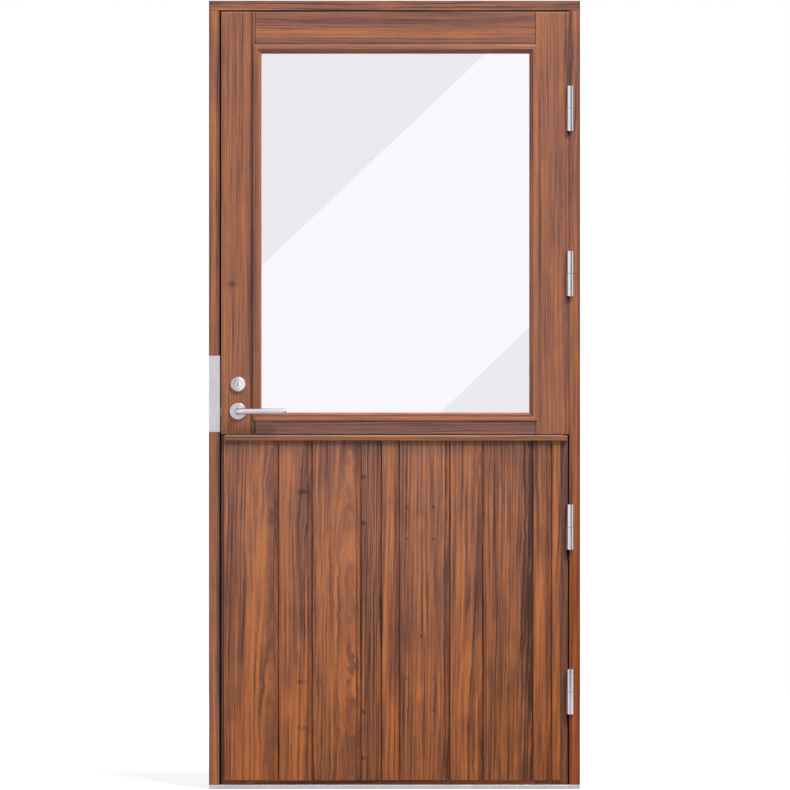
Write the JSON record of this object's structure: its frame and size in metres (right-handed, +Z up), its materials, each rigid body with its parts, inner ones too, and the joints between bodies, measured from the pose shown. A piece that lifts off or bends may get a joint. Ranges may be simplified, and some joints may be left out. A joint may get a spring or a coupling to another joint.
{
  "type": "dutch stable door",
  "caption": "Outward-opening timber stable door in its frame: glazed upper leaf over a boarded lower leaf, each on its own pair of lift-off hinges, with lever lock and bolts.",
  "frame": {"origin": "middle of the underside of the door frame's threshold", "axes": "+X towards the hinges as seen from outside, -Y outside, +Z up"},
  "size_m": [0.988, 0.174, 2.1],
  "materials": {
    "frame_timber": "oiled, brushed grain",
    "leaf_timber": "oiled, brushed grain",
    "bead_timber": "oiled, brushed grain",
    "board_timber": "oiled, strongly figured",
    "panel_timber": "oiled, brushed grain",
    "sill_aluminium": "anodised satin",
    "satin_steel": "satin",
    "zinc_steel": "zinc plated",
    "cylinder_brass": "satin nickel plated",
    "insulation": "wood-fibre insulation board",
    "window_glass": "clear",
    "spacer_aluminium": "satin",
    "glazing_tape": "foam tape",
    "seal_rubber": "matt"
  },
  "bodies": {
    "frame": {"frame_head": "frame_timber", "lock_jamb": "frame_timber", "hinge_jamb": "frame_timber", "threshold": "sill_aluminium", "frame_seals": "seal_rubber", "lock_strike": "satin_steel", "lower_strike": "satin_steel", "hinge_frame_halves": "satin_steel", "hinge_pins": "satin_steel", "frame_screws": "zinc_steel"},
    "upper_leaf": {"upper_lock_stile": "leaf_timber", "upper_hinge_stile": "leaf_timber", "upper_top_rail": "leaf_timber", "upper_bottom_rail": "leaf_timber", "outer_beads": "bead_timber", "inner_beads": "bead_timber", "outer_pane": "window_glass", "inner_pane": "window_glass", "glass_spacer": "spacer_aluminium", "glazing_tapes": "glazing_tape", "meeting_seal": "seal_rubber", "lock_case": "zinc_steel", "roses": "satin_steel", "cylinder_ring": "satin_steel", "cylinder_body": "cylinder_brass", "link_keeper": "satin_steel", "upper_screws": "zinc_steel", "hinge_1_leaf_half": "satin_steel", "hinge_2_leaf_half": "satin_steel"},
    "lower_leaf": {"lower_lock_stile": "leaf_timber", "lower_hinge_stile": "leaf_timber", "lower_top_rail": "leaf_timber", "lower_bottom_rail": "leaf_timber", "lower_core": "insulation", "lower_inner_panel": "panel_timber", "meeting_cap": "bead_timber", "link_bolt_plate": "satin_steel", "lower_bolt_plate": "satin_steel", "lower_screws": "zinc_steel", "hinge_3_leaf_half": "satin_steel", "hinge_4_leaf_half": "satin_steel", "lower_board_01": "board_timber", "lower_board_02": "board_timber", "lower_board_03": "board_timber", "lower_board_04": "board_timber", "lower_board_05": "board_timber", "lower_board_06": "board_timber", "lower_board_07": "board_timber", "lower_board_08": "board_timber", "lower_board_09": "board_timber", "lower_board_10": "board_timber"},
    "handle": {"lever_outside": "satin_steel", "lever_inside": "satin_steel", "spindle": "zinc_steel"},
    "latch": {"latch_bolt": "satin_steel"},
    "dead_bolt": {"dead_bolt": "satin_steel"},
    "key_plug": {"cylinder_plug": "cylinder_brass"},
    "thumb_turn": {"thumb_turn": "satin_steel"},
    "link_bolt": {"link_bolt": "satin_steel"},
    "lower_bolt": {"lower_bolt": "satin_steel"}
  },
  "joints": [
    {"name": "upper_leaf_swing", "type": "hinge", "parent": "frame", "child": "upper_leaf", "pos_m": [0.4675, -0.0625, 0], "axis": [0, 0, 1], "range_deg": [0, 170]},
    {"name": "lower_leaf_swing", "type": "hinge", "parent": "frame", "child": "lower_leaf", "pos_m": [0.4675, -0.0625, 0], "axis": [0, 0, 1], "range_deg": [0, 170]},
    {"name": "lever_turn", "type": "hinge", "parent": "upper_leaf", "child": "handle", "pos_m": [-0.4165, 0, 1.0065], "axis": [0, 1, 0], "range_deg": [0, 40], "stiffness_Nm_per_rad": 1.2, "springref_deg": -45.84},
    {"name": "latch_slide", "type": "slide", "parent": "upper_leaf", "child": "latch", "axis": [1, 0, 0], "range_m": [0, 0.0116]},
    {"name": "thumb_turn_turn", "type": "hinge", "parent": "upper_leaf", "child": "thumb_turn", "pos_m": [-0.4165, 0, 1.0785], "axis": [0, 1, 0], "range_deg": [0, 90.1]},
    {"name": "key_plug_turn", "type": "hinge", "parent": "upper_leaf", "child": "key_plug", "pos_m": [-0.4165, 0, 1.0785], "axis": [0, 1, 0], "range_deg": [0, 90.1]},
    {"name": "dead_bolt_slide", "type": "slide", "parent": "upper_leaf", "child": "dead_bolt", "axis": [-1, 0, 0], "range_m": [0, 0.02]},
    {"name": "link_bolt_slide", "type": "slide", "parent": "lower_leaf", "child": "link_bolt", "axis": [0, 0, 1], "range_m": [0, 0.026]},
    {"name": "lower_bolt_slide", "type": "slide", "parent": "lower_leaf", "child": "lower_bolt", "axis": [-1, 0, 0], "range_m": [0, 0.026]}
  ],
  "couplings": [
    {"joint": "latch_slide", "follows": "lever_turn", "m_per_rad": 0.016473},
    {"joint": "thumb_turn_turn", "follows": "dead_bolt_slide", "rad_per_m": 78.54},
    {"joint": "key_plug_turn", "follows": "dead_bolt_slide", "rad_per_m": 78.54}
  ]
}
